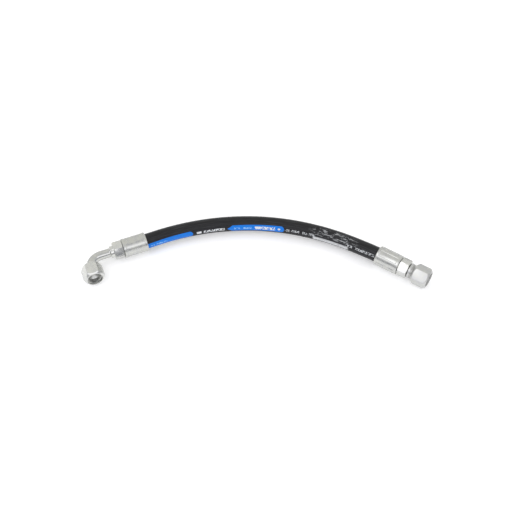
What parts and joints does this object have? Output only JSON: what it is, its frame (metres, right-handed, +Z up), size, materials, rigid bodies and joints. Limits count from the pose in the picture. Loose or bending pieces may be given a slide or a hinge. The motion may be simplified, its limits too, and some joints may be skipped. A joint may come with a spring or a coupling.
{
  "type": "hydraulic hose assembly",
  "caption": "Curved rubber hydraulic hose with crimped ferrules, a bent-tube elbow fitting on one end and a straight fitting on the other, each with a hexagonal swivel nut.",
  "frame": {"origin": "on the ground, below the centre of the fittings' bounding box; the hose's and the fittings' axes all lie in one level plane 8.9 mm up", "axes": "+X from the elbow end to the straight end; +Y towards the outside of the hose's arc; +Z up, square to the plane that the hose lies in"},
  "size_m": [0.2947, 0.0752, 0.0179],
  "materials": {
    "hose_rubber": "satin black synthetic rubber cover",
    "liner_rubber": "smooth black nitrile liner",
    "braid_wire": "brass-coated steel wire braid",
    "zinc_ferrule": "clear zinc plating, pressed by crimping dies",
    "zinc_stem": "clear zinc plating, turned",
    "zinc_tube": "clear zinc plating, drawn tube",
    "zinc_nut": "clear zinc plating, drawn hexagonal bar"
  },
  "bodies": {
    "hose_and_fittings": {"outer_cover": "hose_rubber", "wire_braid": "braid_wire", "inner_tube": "liner_rubber", "elbow_ferrule": "zinc_ferrule", "elbow_stem": "zinc_stem", "bent_tube": "zinc_tube", "elbow_seat_sleeve": "zinc_stem", "straight_ferrule": "zinc_ferrule", "straight_stem": "zinc_stem"},
    "elbow_swivel_nut": {"elbow_swivel_nut": "zinc_nut"},
    "straight_swivel_nut": {"straight_swivel_nut": "zinc_nut"}
  },
  "joints": [
    {"name": "elbow_nut_turn", "type": "hinge", "parent": "hose_and_fittings", "child": "elbow_swivel_nut", "pos_m": [-0.13901, -0.00993, 0.00893], "axis": [0.3907, -0.9205, 0], "continuous": true},
    {"name": "straight_nut_turn", "type": "hinge", "parent": "hose_and_fittings", "child": "straight_swivel_nut", "pos_m": [0.13118, -0.01326, 0.00893], "axis": [0.829, -0.5592, 0], "continuous": true}
  ]
}
